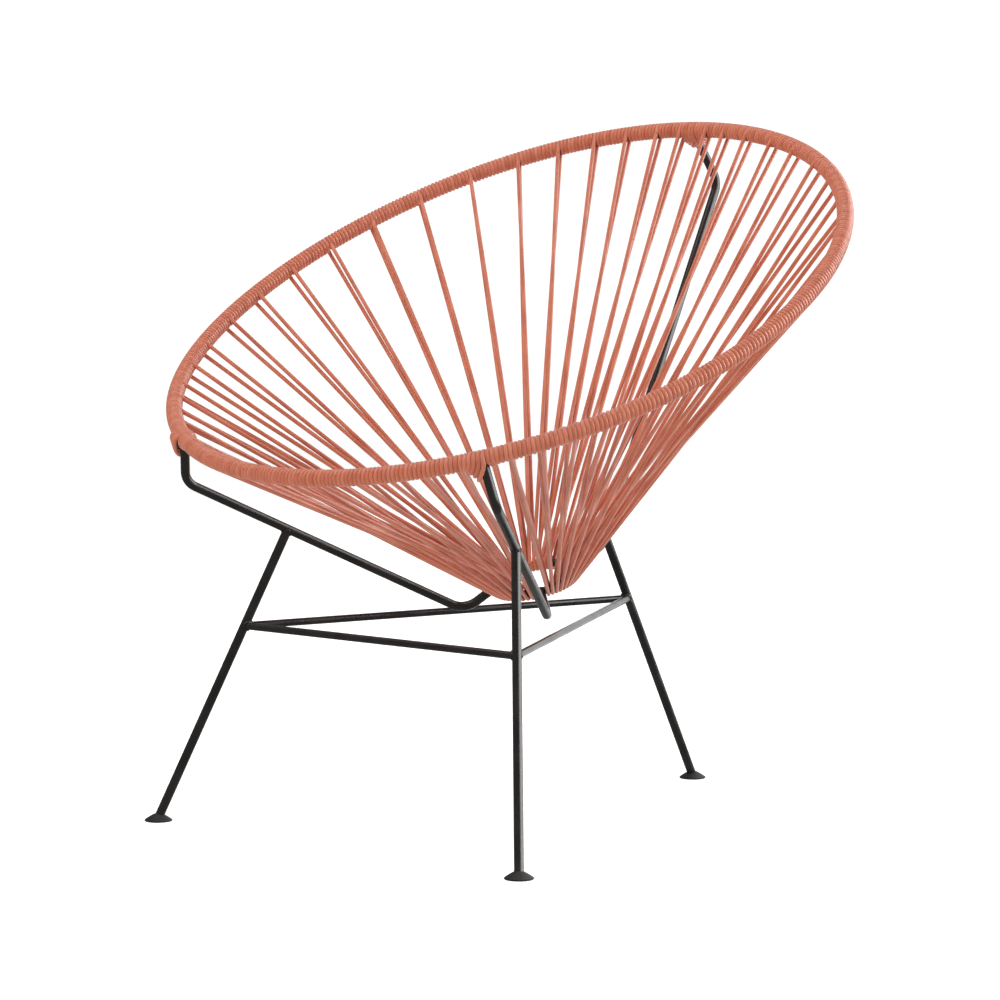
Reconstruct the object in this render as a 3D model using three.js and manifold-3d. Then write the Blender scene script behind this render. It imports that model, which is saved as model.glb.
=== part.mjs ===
// Round lounge chair: a tilted steel rim strung with plastic cord to a small
// bottom ring, on three bent arms, three splayed legs and three stretchers.
// Millimetres, +Z up, the sitter looks along -Y, the floor is z = 0.

import * as THREE from 'three';
import { ConvexGeometry } from 'three/addons/geometries/ConvexGeometry.js';
import { mergeVertices } from 'three/addons/utils/BufferGeometryUtils.js';
import Module from 'manifold-3d';

const wasm = await Module();
wasm.setup();

// Driving dimensions of the rim
const rimHalfWidth = 381;
const rimHalfLength = 375.7;
const rimCentreHeight = 563.2;
const rimCentreBack = -4.4;
const rimTilt = THREE.MathUtils.degToRad(28.3);
const rimBow = 6;
const rimRodDiameter = 9.2;

// Driving dimensions of the cord and the bottom ring
const cordDiameter = 4.2;
const ringRodDiameter = 8;
const ringCentreHeight = 255.5;
const ringCentreBack = 46.5;
const ringTilt = THREE.MathUtils.degToRad(18.5);
const loopGap = 0.6;
const spokeSplit = 9.2;

// Driving dimensions of the arms
const armDiameter = 10;
const armTopAngle = THREE.MathUtils.degToRad(33.5);
const armRingAngle = THREE.MathUtils.degToRad(47);
const armTopBendRadius = 20;
const armLowBendRadius = 25;

// Corners of the arms: the elbow from the joint on the rim, the knee from the joint on the ring
const frontElbow = { side: 9.1, back: 10, drop: 47.8 };
const frontKnee = { side: 27.85, back: -19.1, drop: 26.15 };
const backElbow = { side: 0, back: 46.9, drop: 60.1 };
const backKnee = { side: 0, back: 72.9, drop: -10.3 };

// Driving dimensions of the legs, stretchers and feet
const legDiameter = 10;
const stretcherDiameter = 8;
const frontFootSide = 256.8;
const frontFootBack = -279.2;
const backFootBack = 328.8;
const frontStretcherHeight = 211;
const backStretcherHeight = 219.5;
const footDiameter = 30;
const footHeight = 9;
const footEdgeHeight = 3.2;
const footChamfer = 1.4;
const frontLegShare = 0.36;
const backLegShare = 0.966;

// Clearances
const seatGap = 0.3;
const cutOverrun = 2;
const sectionGap = 0.6;

// Cord that covers each arm top
const armWrapDrop = 24;
const armWrapRun = 15;
const armWrapLead = 5;

// Counts
const rodStations = 60;
const ringStations = 40;
const sectionSides = 8;
const tubeSides = 10;
const cordSides = 6;
const loopSteps = 5;
const bendSteps = 5;
const ribsOnRim = 110;
const ribDepthShare = 0.22;
const squeezeShare = 0.86;
const turnTail = 3.2;
const spacingRounds = 6;

// Turns of cord on the rim between neighbouring spokes, arm to arm
const frontTurnShares = [5, 8, 8, 8, 9, 9, 9, 9, 8, 8, 8, 5];
const rightTurnShares = [6, 7, 7, 7, 7, 9, 10, 11, 13, 14, 13, 14, 14, 13, 12, 12, 10, 10, 8, 6, 5];
const leftTurnShares = [3, 7, 9, 9, 10, 11, 13, 14, 14, 13, 13, 13, 13, 13, 11, 11, 8, 8, 8, 9];

// Sizes worked out from the driving dimensions
const cordRadius = cordDiameter / 2;
const rimRodRadius = rimRodDiameter / 2;
const ringRodRadius = ringRodDiameter / 2;
const armRadius = armDiameter / 2;
const legRadius = legDiameter / 2;
const stretcherRadius = stretcherDiameter / 2;
const footRadius = footDiameter / 2;
const windingRadius = rimRodRadius + cordDiameter;
const cordOnRim = rimRodRadius + cordRadius;
const cordOnRing = ringRodRadius + seatGap + cordRadius;
const loopWidth = squeezeShare * cordDiameter * Math.cos(Math.PI / cordSides);
const sideways = (loopWidth + loopGap) / 2;
const rimSideways = spokeSplit / 2;
const fullTurn = 2 * Math.PI;

// The ring is just large enough for the loops of the fullest panel to lie side by side
const busiestLoops = rightTurnShares.length - 2;
const busiestArc = Math.PI - armRingAngle;
const loopPitch = loopWidth + loopGap;
const armOnRing = armRadius + seatGap + cordRadius;
const loopRowLength = busiestLoops * loopPitch + 2 * armOnRing + sideways;
const ringRadius = loopRowLength / busiestArc + cordOnRing;

const cordMaterial = () => new THREE.MeshStandardMaterial({ color: 0xc4705a, roughness: 0.45, metalness: 0 });
const steelMaterial = () => new THREE.MeshStandardMaterial({ color: 0x1d1b1a, roughness: 0.4, metalness: 0.4 });
const footMaterial = () => new THREE.MeshStandardMaterial({ color: 0x171717, roughness: 0.6, metalness: 0 });

const chair = new THREE.Group();

// Direction that sets where the flats of arm and leg tubes face
const armReference = new THREE.Vector3(0, 1, 0);

// A frame that lies in the plane of a tilted hoop: side, down the slope, and out of the plane
function hoopAxes(tilt) {
  return {
    side: new THREE.Vector3(1, 0, 0),
    fall: new THREE.Vector3(0, -Math.cos(tilt), -Math.sin(tilt)),
    rise: new THREE.Vector3(0, -Math.sin(tilt), Math.cos(tilt)),
  };
}

const rimAxes = hoopAxes(rimTilt);
const ringAxes = hoopAxes(ringTilt);
const rimCentre = new THREE.Vector3(0, rimCentreBack, rimCentreHeight);
const ringCentre = new THREE.Vector3(0, ringCentreBack, ringCentreHeight);

// Centre line of the rim; angle 0 is the low front, 90 degrees the sitter's left, +X
function rimPoint(angle) {
  return rimCentre.clone()
    .addScaledVector(rimAxes.side, rimHalfWidth * Math.sin(angle))
    .addScaledVector(rimAxes.fall, rimHalfLength * Math.cos(angle))
    .addScaledVector(rimAxes.rise, rimBow * Math.cos(2 * angle));
}

// Centre line of the bottom ring, measured the same way
function ringPoint(angle) {
  return ringCentre.clone()
    .addScaledVector(ringAxes.side, ringRadius * Math.sin(angle))
    .addScaledVector(ringAxes.fall, ringRadius * Math.cos(angle));
}

// Direction along a hoop, from the points on either side
function alongHoop(point, angle) {
  const step = Math.PI / 360;
  return point(angle + step).sub(point(angle - step)).normalize();
}

// The two directions across a hoop: outwards in its plane, and upwards out of it
function acrossHoop(point, axes, angle) {
  const along = alongHoop(point, angle);
  const outward = new THREE.Vector3().crossVectors(along, axes.rise).normalize();
  const upward = new THREE.Vector3().crossVectors(outward, along).normalize();
  return { along, outward, upward };
}

// Points round a hoop's section at one angle, all at the same distance from its centre line
function sectionRing(point, axes, angle, radius) {
  const { outward, upward } = acrossHoop(point, axes, angle);
  const centre = point(angle);
  const corners = [];
  for (let i = 0; i < sectionSides; i += 1) {
    const turn = fullTurn * (i + 0.5) / sectionSides;
    corners.push(centre.clone()
      .addScaledVector(upward, radius * Math.cos(turn))
      .addScaledVector(outward, radius * Math.sin(turn)));
  }
  return corners;
}

// The section of a hoop made of straight stretches between stations, at any angle
function chordRing(point, axes, stations, angle, radius) {
  const place = angle * stations / fullTurn;
  const before = Math.floor(place);
  const first = sectionRing(point, axes, before * fullTurn / stations, radius);
  const second = sectionRing(point, axes, (before + 1) * fullTurn / stations, radius);
  return first.map((corner, i) => corner.lerp(second[i], place - before));
}

// Collects triangles and gives a closed geometry back
class Skin {
  constructor() {
    this.positions = [];
  }

  triangle(a, b, c) {
    this.positions.push(a.x, a.y, a.z, b.x, b.y, b.z, c.x, c.y, c.z);
  }

  // A band between two rings of as many points
  band(first, second) {
    first.forEach((corner, i) => {
      const next = (i + 1) % first.length;
      this.triangle(corner, first[next], second[next]);
      this.triangle(corner, second[next], second[i]);
    });
  }

  // A flat end closed from one of its corners
  cap(ring) {
    for (let i = 1; i < ring.length - 1; i += 1) this.triangle(ring[0], ring[i], ring[i + 1]);
  }

  // Bands through a list of rings
  bands(rings) {
    for (let i = 1; i < rings.length; i += 1) this.band(rings[i - 1], rings[i]);
  }

  geometry() {
    const geometry = new THREE.BufferGeometry();
    geometry.setAttribute('position', new THREE.Float32BufferAttribute(this.positions, 3));
    return geometry;
  }
}

// A closed tube through rings of points
function tubeThrough(rings) {
  const skin = new Skin();
  skin.bands(rings);
  skin.cap([...rings[0]].reverse());
  skin.cap(rings[rings.length - 1]);
  return skin.geometry();
}

// An endless tube through rings of points
function hoopThrough(rings) {
  const skin = new Skin();
  skin.bands([...rings, rings[0]]);
  return skin.geometry();
}

// Solid to cut and join with
function solidOf(geometry) {
  const bare = geometry.index ? geometry.toNonIndexed() : geometry.clone();
  bare.deleteAttribute('normal');
  bare.deleteAttribute('uv');
  const merged = mergeVertices(bare);
  const mesh = new wasm.Mesh({
    numProp: 3,
    vertProperties: new Float32Array(merged.attributes.position.array),
    triVerts: new Uint32Array(merged.index.array),
  });
  return new wasm.Manifold(mesh);
}

// Geometry of a finished solid
function geometryOf(solid) {
  const mesh = solid.getMesh();
  const geometry = new THREE.BufferGeometry();
  geometry.setAttribute('position', new THREE.Float32BufferAttribute(mesh.vertProperties, mesh.numProp));
  geometry.setIndex(new THREE.Uint32BufferAttribute(mesh.triVerts, 1));
  return geometry;
}

// Adds one named part to the chair
function addPart(name, geometry, material) {
  const mesh = new THREE.Mesh(geometry, material);
  mesh.name = name;
  chair.add(mesh);
}

// Rings of a tube of one radius along straight stretches, mitred where they meet
function mitredRings(path, radius, sides, reference) {
  const heading = path.slice(1).map((point, i) => point.clone().sub(path[i]).normalize());
  const sideAxis = reference.clone().addScaledVector(heading[0], -reference.dot(heading[0])).normalize();
  const upAxis = new THREE.Vector3().crossVectors(heading[0], sideAxis);
  let offsets = [];
  for (let i = 0; i < sides; i += 1) {
    const turn = fullTurn * i / sides;
    offsets.push(new THREE.Vector3()
      .addScaledVector(upAxis, -radius * Math.cos(turn))
      .addScaledVector(sideAxis, radius * Math.sin(turn)));
  }
  return path.map((point, i) => {
    const before = heading[Math.max(i - 1, 0)];
    const after = heading[Math.min(i, heading.length - 1)];
    const mitre = before.clone().add(after).normalize();
    const ring = offsets.map((offset) => {
      const slide = -offset.dot(mitre) / before.dot(mitre);
      return offset.clone().addScaledVector(before, slide);
    });
    offsets = ring.map((corner) => corner.clone().addScaledVector(after, -corner.dot(after)));
    return ring.map((corner) => corner.add(point));
  });
}

// A tube of one radius along a path
function tubeAlong(path, radius, sides, reference) {
  return tubeThrough(mitredRings(path, radius, sides, reference));
}

// A path through corners, each rounded by its own bend radius
function bentPath(corners, bendRadii) {
  const path = [corners[0].clone()];
  for (let i = 1; i < corners.length - 1; i += 1) {
    const into = corners[i].clone().sub(corners[i - 1]).normalize();
    const out = corners[i + 1].clone().sub(corners[i]).normalize();
    const half = into.angleTo(out) / 2;
    const reach = bendRadii[i - 1] * Math.tan(half);
    const inward = out.clone().sub(into).normalize();
    const centre = corners[i].clone().addScaledVector(inward, bendRadii[i - 1] / Math.cos(half));
    const start = corners[i].clone().addScaledVector(into, -reach).sub(centre);
    const axis = new THREE.Vector3().crossVectors(into, out).normalize();
    for (let step = 0; step <= bendSteps; step += 1) {
      const turned = start.clone().applyAxisAngle(axis, 2 * half * step / bendSteps);
      path.push(turned.add(centre));
    }
  }
  path.push(corners[corners.length - 1].clone());
  return path;
}

// A straight solid round tube between two points, longer at each end by its own overrun
function straightTube(from, to, radius, fromOverrun, toOverrun) {
  const heading = to.clone().sub(from).normalize();
  const reference = Math.abs(heading.z) > Math.abs(heading.x) ? armReference : new THREE.Vector3(0, 0, 1);
  const path = [
    from.clone().addScaledVector(heading, -fromOverrun),
    to.clone().addScaledVector(heading, toOverrun),
  ];
  return tubeAlong(path, radius, tubeSides, reference);
}

// A stretch of a hoop's rod between two angles, used to shape what meets it
function rodStretch(point, axes, stations, from, to, radius) {
  const step = fullTurn / stations;
  const angles = [from];
  for (let i = Math.ceil(from / step); i * step < to; i += 1) {
    if (i * step > from) angles.push(i * step);
  }
  angles.push(to);
  return tubeThrough(angles.map((angle) => chordRing(point, axes, stations, angle, radius)));
}

// Steel rim rod and bottom ring

function hoopRod(point, axes, stations, radius) {
  const rings = [];
  for (let i = 0; i < stations; i += 1) {
    rings.push(sectionRing(point, axes, i * fullTurn / stations, radius));
  }
  return hoopThrough(rings);
}

addPart('rim_rod', hoopRod(rimPoint, rimAxes, rodStations, rimRodRadius), steelMaterial());
addPart('bottom_ring', hoopRod(ringPoint, ringAxes, ringStations, ringRodRadius), steelMaterial());

// Arms: from under the rim, down and inwards, and round a knee to the bottom ring

const armNames = ['right', 'back', 'left'];
const armTopAngles = [armTopAngle, Math.PI, fullTurn - armTopAngle];
const armRingAngles = [armRingAngle, Math.PI, fullTurn - armRingAngle];

function armCorners(index) {
  const elbow = index === 1 ? backElbow : frontElbow;
  const knee = index === 1 ? backKnee : frontKnee;
  const top = rimPoint(armTopAngles[index]);
  const low = ringPoint(armRingAngles[index]);
  const sign = index === 1 ? 0 : Math.sign(top.x);
  return [
    top,
    top.clone().add(new THREE.Vector3(sign * elbow.side, elbow.back, -elbow.drop)),
    low.clone().add(new THREE.Vector3(sign * knee.side, knee.back, -knee.drop)),
    low,
  ];
}

const armPaths = armNames.map((name, index) => (
  bentPath(armCorners(index), [armTopBendRadius, armLowBendRadius])
));

function armSolid(index, extra) {
  const reference = index === 1 ? new THREE.Vector3(1, 0, 0) : armReference;
  return solidOf(tubeAlong(armPaths[index], armRadius + extra, tubeSides, reference));
}

const cutSpan = (armDiameter + 2 * cutOverrun) / rimHalfWidth;
const ringCutSpan = (armDiameter + 2 * cutOverrun) / ringRadius;

armNames.forEach((name, index) => {
  const top = armTopAngles[index];
  const low = armRingAngles[index];
  const rimCut = rodStretch(rimPoint, rimAxes, rodStations, top - cutSpan, top + cutSpan, rimRodRadius + seatGap);
  const ringCut = rodStretch(
    ringPoint, ringAxes, ringStations, low - ringCutSpan, low + ringCutSpan, ringRodRadius + seatGap,
  );
  const cut = armSolid(index, 0).subtract(solidOf(rimCut)).subtract(solidOf(ringCut));
  addPart(`arm_${name}`, geometryOf(largestPiece(cut)), steelMaterial());
});

// The largest of the pieces that a cut leaves
function largestPiece(solid) {
  const pieces = solid.decompose();
  return pieces.reduce((best, piece) => (piece.volume() > best.volume() ? piece : best));
}

// Feet: low domed discs

function footProfile(extra) {
  const rim = footRadius + extra;
  const profile = [
    new THREE.Vector2(0, -extra),
    new THREE.Vector2(rim - footChamfer, -extra),
    new THREE.Vector2(rim, footChamfer - extra),
    new THREE.Vector2(rim, footEdgeHeight),
  ];
  for (let i = 1; i <= bendSteps; i += 1) {
    const turn = Math.PI / 2 * i / bendSteps;
    const across = rim * Math.cos(turn);
    const up = footEdgeHeight + (footHeight + extra - footEdgeHeight) * Math.sin(turn);
    profile.push(new THREE.Vector2(i === bendSteps ? 0 : across, up));
  }
  return profile;
}

function footGeometry(extra, centre) {
  const geometry = new THREE.LatheGeometry(footProfile(extra), 2 * tubeSides);
  geometry.rotateX(Math.PI / 2);
  geometry.translate(centre.x, centre.y, centre.z);
  return geometry;
}

const footCentres = [
  new THREE.Vector3(frontFootSide, frontFootBack, 0),
  new THREE.Vector3(0, backFootBack, 0),
  new THREE.Vector3(-frontFootSide, frontFootBack, 0),
];

armNames.forEach((name, index) => {
  const foot = solidOf(footGeometry(0, footCentres[index]));
  addPart(`foot_${name}`, geometryOf(foot), footMaterial());
});

// Legs: from the underside of each arm's long run down to a foot

const legTops = armNames.map((name, index) => {
  const corners = armCorners(index);
  const share = index === 1 ? backLegShare : frontLegShare;
  return corners[1].clone().lerp(corners[2], share);
});

const legFeet = footCentres.map((centre) => centre.clone().setZ(footEdgeHeight));

armNames.forEach((name, index) => {
  const leg = solidOf(straightTube(legTops[index], legFeet[index], legRadius, 0, 0));
  const foot = solidOf(footGeometry(seatGap, footCentres[index]));
  const cut = leg.subtract(armSolid(index, seatGap)).subtract(foot);
  addPart(`leg_${name}`, geometryOf(largestPiece(cut)), steelMaterial());
});

// Stretchers: a triangle of thinner bars between the legs

function pointOnLeg(index, height) {
  const top = legTops[index];
  const low = legFeet[index];
  return low.clone().lerp(top, (height - low.z) / (top.z - low.z));
}

const stretcherEnds = [
  pointOnLeg(0, frontStretcherHeight),
  pointOnLeg(1, backStretcherHeight),
  pointOnLeg(2, frontStretcherHeight),
];

function legEnvelope(index) {
  return solidOf(straightTube(legTops[index], legFeet[index], legRadius + seatGap, cutOverrun, cutOverrun));
}

const placedBars = [];
const stretcherLegs = {
  stretcher_front: ['right', 'left'],
  stretcher_right: ['right', 'back'],
  stretcher_left: ['back', 'left'],
};

Object.entries(stretcherLegs).forEach(([name, legs]) => {
  const [from, to] = legs.map((leg) => armNames.indexOf(leg));
  const bar = solidOf(straightTube(stretcherEnds[from], stretcherEnds[to], stretcherRadius, 0, 0));
  let cut = bar.subtract(legEnvelope(from)).subtract(legEnvelope(to));
  placedBars.forEach((envelope) => {
    cut = cut.subtract(envelope);
  });
  placedBars.push(solidOf(
    straightTube(stretcherEnds[from], stretcherEnds[to], stretcherRadius + seatGap, cutOverrun, cutOverrun),
  ));
  addPart(name, geometryOf(largestPiece(cut)), steelMaterial());
});

// Cord: each section is wound on the rim and runs to the bottom ring and back at its spokes

// Angles of the spokes on the rim, from the turns wound between them
function spokeAngles(turnShares, from, to) {
  const total = turnShares.reduce((sum, turns) => sum + turns);
  let wound = 0;
  return turnShares.slice(0, -1).map((turns) => {
    wound += turns;
    return from + (to - from) * wound / total;
  });
}

// Share of a spacing along a hoop that is left across cord that leaves it at a slant
function slantShare(along, run) {
  const lengthwise = run.dot(along);
  return Math.sqrt(1 - lengthwise * lengthwise);
}

function slantOnRing(rimAngle, loopAngle) {
  const run = ringPoint(loopAngle).sub(rimPoint(rimAngle)).normalize();
  return slantShare(alongHoop(ringPoint, loopAngle), run);
}

// Angles of the loops on the ring between two arms, further apart where the spokes slant
function loopAngles(rimAngles, from, to) {
  const first = from + (armOnRing + sideways) / ringRadius;
  const last = to - armOnRing / ringRadius;
  let angles = rimAngles.map((unused, i) => first + (last - first) * i / (rimAngles.length - 1));
  for (let round = 0; round < spacingRounds; round += 1) {
    const widths = angles.slice(1).map((angle, i) => (
      1 / slantOnRing(rimAngles[i], angles[i]) + 1 / slantOnRing(rimAngles[i + 1], angle)
    ));
    const total = widths.reduce((sum, width) => sum + width);
    let passed = 0;
    angles = [first, ...widths.map((width) => {
      passed += width;
      return first + (last - first) * passed / total;
    })];
  }
  return angles;
}

// Directions across a hoop for cord that leaves it: along the cord's run, and up
function leavingAxes(point, angle, run, up) {
  const along = alongHoop(point, angle);
  const ahead = run.clone().addScaledVector(along, -run.dot(along)).normalize();
  const lift = new THREE.Vector3().crossVectors(along, ahead);
  if (lift.dot(up) < 0) lift.negate();
  return { along, ahead, lift };
}

// Path of one spoke: off the top of the rim, round under the ring, back under the rim
function spokePath(rimAngle, loopAngle) {
  const run = ringPoint(loopAngle).sub(rimPoint(rimAngle)).normalize();
  const rim = leavingAxes(rimPoint, rimAngle, run, rimAxes.rise);
  const ring = leavingAxes(ringPoint, loopAngle, run, rimAxes.rise);
  const onRim = (side, lift) => rimPoint(rimAngle + side / rimHalfWidth)
    .addScaledVector(rim.ahead, turnTail)
    .addScaledVector(rim.lift, lift);
  const split = rimSideways / slantShare(rim.along, run);
  const path = [onRim(-split, cordOnRim)];
  const reach = cordOnRing / Math.cos(Math.PI / 2 / loopSteps);
  for (let step = 0; step <= loopSteps; step += 1) {
    const turn = Math.PI * (step / loopSteps - 0.5);
    const side = sideways * (2 * step / loopSteps - 1);
    path.push(ringPoint(loopAngle + side / ringRadius)
      .addScaledVector(ring.ahead, reach * Math.cos(turn))
      .addScaledVector(ring.lift, reach * Math.sin(turn)));
  }
  path.push(onRim(split, -cordOnRim));
  return { path, ringAlong: ring.along };
}

// Tube of one spoke, its cord squeezed narrow where the loops crowd on the ring
function spokeTube(path, ringAlong) {
  const rings = mitredRings(path, cordRadius, cordSides, ringAlong);
  rings.slice(1, -1).forEach((ring, i) => {
    const centre = path[i + 1];
    ring.forEach((corner) => {
      const side = corner.clone().sub(centre).dot(ringAlong);
      corner.addScaledVector(ringAlong, (squeezeShare - 1) * side);
    });
  });
  return tubeThrough(rings);
}

// Least clear distance between the two long runs of a spoke
function leastSelfGap(path) {
  const samples = 60;
  const last = path.length - 1;
  let least = Infinity;
  for (let i = 0; i <= samples; i += 1) {
    const outward = path[0].clone().lerp(path[1], i / samples);
    for (let k = 0; k <= samples; k += 1) {
      const inward = path[last].clone().lerp(path[last - 1], k / samples);
      least = Math.min(least, outward.distanceTo(inward));
    }
  }
  return least - cordDiameter;
}

// Ribbed winding on the rim between two angles, with a bore that clears the rod
function windingGeometry(from, to) {
  const ribs = Math.max(1, Math.round((to - from) * ribsOnRim / fullTurn));
  const outer = [];
  for (let i = 0; i <= 2 * ribs; i += 1) {
    const angle = from + (to - from) * i / (2 * ribs);
    const depth = i % 2 === 0 ? ribDepthShare * cordDiameter : 0;
    outer.push(sectionRing(rimPoint, rimAxes, angle, windingRadius - depth));
  }
  const step = fullTurn / rodStations;
  const boreAngles = [from];
  for (let i = Math.ceil(from / step); i * step < to; i += 1) {
    if (i * step > from) boreAngles.push(i * step);
  }
  boreAngles.push(to);
  const boreRadius = rimRodRadius + seatGap;
  const bore = boreAngles.map((angle) => chordRing(rimPoint, rimAxes, rodStations, angle, boreRadius));
  const skin = new Skin();
  skin.bands(outer);
  skin.bands([...bore].reverse());
  skin.band(bore[0], outer[0]);
  skin.band(outer[outer.length - 1], bore[bore.length - 1]);
  return skin.geometry();
}

const selfGaps = [];

function cordSection(name, from, to, rimAngles, ringAngles) {
  let section = solidOf(windingGeometry(from, to));
  rimAngles.forEach((rimAngle, i) => {
    const { path, ringAlong } = spokePath(rimAngle, ringAngles[i]);
    selfGaps.push(leastSelfGap(path));
    section = section.add(solidOf(spokeTube(path, ringAlong)));
  });
  addPart(name, geometryOf(section), cordMaterial());
}

// Splits a panel's spokes into sections of two, the middle one taking any odd spoke
function cordPanel(name, turnShares, armBefore, armAfter) {
  const rimAngles = spokeAngles(turnShares, armTopAngles[armBefore], armTopAngles[armAfter]);
  const ringAngles = loopAngles(rimAngles, armRingAngles[armBefore], armRingAngles[armAfter]);
  const sections = Math.floor(rimAngles.length / 2);
  const middle = Math.floor(sections / 2);
  const odd = rimAngles.length % 2;
  const besideArm = (armRadius + sectionGap) / rimHalfWidth;
  const besideNext = sectionGap / 2 / rimHalfWidth;
  let first = 0;
  let from = armTopAngles[armBefore] + besideArm;
  for (let i = 0; i < sections; i += 1) {
    const end = first + 2 + (i === middle ? odd : 0);
    const last = i === sections - 1;
    const border = last ? armTopAngles[armAfter] : (rimAngles[end - 1] + rimAngles[end]) / 2;
    const to = border - (last ? besideArm : besideNext);
    cordSection(`${name}_${i + 1}`, from, to, rimAngles.slice(first, end), ringAngles.slice(first, end));
    from = border + besideNext;
    first = end;
  }
}

// Angles grow from the front by the +X side to the back, so the front panel starts a turn early
armTopAngles.push(-armTopAngle);
armRingAngles.push(-armRingAngle);
cordPanel('cord_front', frontTurnShares, 3, 0);
cordPanel('cord_right', rightTurnShares, 0, 1);
cordPanel('cord_left', leftTurnShares, 1, 2);

console.log(`bottom ring: ${(2 * ringRadius).toFixed(1)} mm across its centre line`);
console.log(`least gap between the two runs of a spoke: ${Math.min(...selfGaps).toFixed(2)} mm`);

// Cord over each arm top: a wedge that hugs the arm under the winding

armNames.forEach((name, index) => {
  const top = armTopAngles[index];
  const corners = armCorners(index);
  const heading = corners[1].clone().sub(corners[0]).normalize();
  const along = alongHoop(rimPoint, top);
  const sideAxis = along.clone().addScaledVector(heading, -along.dot(heading)).normalize();
  const frontAxis = new THREE.Vector3().crossVectors(heading, sideAxis);
  const points = [];
  const cuff = armRadius + cordRadius + seatGap;
  for (let i = 0; i < tubeSides; i += 1) {
    const turn = fullTurn * i / tubeSides;
    points.push(corners[0].clone()
      .addScaledVector(heading, armWrapDrop)
      .addScaledVector(sideAxis, cuff * Math.cos(turn))
      .addScaledVector(frontAxis, cuff * Math.sin(turn)));
  }
  [-armWrapRun, armWrapLead + armRadius].forEach((reach) => {
    points.push(...sectionRing(rimPoint, rimAxes, top + reach / rimHalfWidth, windingRadius));
  });
  const span = (armWrapRun + armDiameter + cutOverrun) / rimHalfWidth;
  const windingEnvelope = rodStretch(
    rimPoint, rimAxes, rodStations, top - span, top + span, windingRadius + 2 * seatGap,
  );
  const wedge = solidOf(new ConvexGeometry(points))
    .subtract(solidOf(windingEnvelope))
    .subtract(armSolid(index, seatGap));
  addPart(`arm_wrap_${name}`, geometryOf(largestPiece(wedge)), cordMaterial());
});

// The origin is the middle of the footprint, on the floor
const bounds = new THREE.Box3().setFromObject(chair);
const middle = bounds.getCenter(new THREE.Vector3());
chair.children.forEach((mesh) => mesh.geometry.translate(-middle.x, -middle.y, -bounds.min.z));

export default chair;
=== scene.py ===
"""A round string lounge chair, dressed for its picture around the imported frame.

Left and right in the names are as the photograph shows them: right is +X, back is
+Y, and the sitter looks along -Y. Lengths are in metres, and in millimetres where a
name ends in _mm.
"""

import logging
import math
from dataclasses import dataclass, field
from enum import Enum
from typing import Sequence

import bmesh
import bpy
from mathutils import Matrix, Vector


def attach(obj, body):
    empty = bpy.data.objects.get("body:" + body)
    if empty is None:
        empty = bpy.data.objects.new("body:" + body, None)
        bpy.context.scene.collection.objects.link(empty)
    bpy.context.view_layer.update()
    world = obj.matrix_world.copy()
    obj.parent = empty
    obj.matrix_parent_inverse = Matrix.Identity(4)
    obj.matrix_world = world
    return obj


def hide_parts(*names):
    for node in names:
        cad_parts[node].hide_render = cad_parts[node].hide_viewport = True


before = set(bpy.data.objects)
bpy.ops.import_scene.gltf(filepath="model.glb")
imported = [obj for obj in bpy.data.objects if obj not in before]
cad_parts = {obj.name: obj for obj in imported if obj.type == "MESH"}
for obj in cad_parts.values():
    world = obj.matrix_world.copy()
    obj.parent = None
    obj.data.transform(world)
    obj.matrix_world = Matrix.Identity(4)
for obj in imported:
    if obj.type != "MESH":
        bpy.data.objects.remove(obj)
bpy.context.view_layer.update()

log = logging.getLogger("chair")

MM = 0.001
ROOT = "root"
FULL_TURN = 2 * math.pi
# Edges bent more than this stay crisp, such as the end of a rod
SHARP_ANGLE = math.radians(50)
ROD_SIDES = 32

Point = tuple[float, float, float]
Span = tuple[float, float]
Line = Sequence[Vector]
Piece = bpy.types.Object
Material = bpy.types.Material
Node = bpy.types.Node
Socket = bpy.types.NodeSocket
Tree = bpy.types.NodeTree
Shape = bmesh.types.BMesh


class Slot(Enum):
    """The record's material slots."""

    STEEL = "frame_steel"
    CORD = "cord"
    FOOT = "foot"


class Arm(Enum):
    """The three arms of the frame, in the order in which the cord passes them."""

    RIGHT = "right"
    BACK = "back"
    LEFT = "left"


# Which way an arm of the right side is mirrored
SIDES = {Arm.RIGHT: 1, Arm.BACK: 1, Arm.LEFT: -1}


# Finishes


def linear(hex_colour: str) -> tuple[float, float, float, float]:
    """Turns an sRGB hex colour into a linear one.

    Args:
        hex_colour: six hex digits.

    Returns:
        Linear red, green, blue and an alpha of one.
    """
    shares = [int(hex_colour[i : i + 2], 16) / 255 for i in (0, 2, 4)]
    lin = [s / 12.92 if s <= 0.04045 else ((s + 0.055) / 1.055) ** 2.4 for s in shares]
    return (lin[0], lin[1], lin[2], 1.0)


def add_node(
    tree: Tree,
    kind: str,
    settings: dict[str, object] | None = None,
    inputs: dict[str | int, object] | None = None,
    links: dict[str | int, Socket] | None = None,
) -> Node:
    """Adds one node with its settings, socket values and links.

    Args:
        tree: where the node goes.
        kind: its type.
        settings: its attributes.
        inputs: the values of its inputs.
        links: the output sockets that feed its inputs.

    Returns:
        The new node.
    """
    node = tree.nodes.new(kind)
    for name, value in (settings or {}).items():
        setattr(node, name, value)
    for key, value in (inputs or {}).items():
        node.inputs[key].default_value = value
    for key, socket in (links or {}).items():
        tree.links.new(socket, node.inputs[key])
    return node


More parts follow.
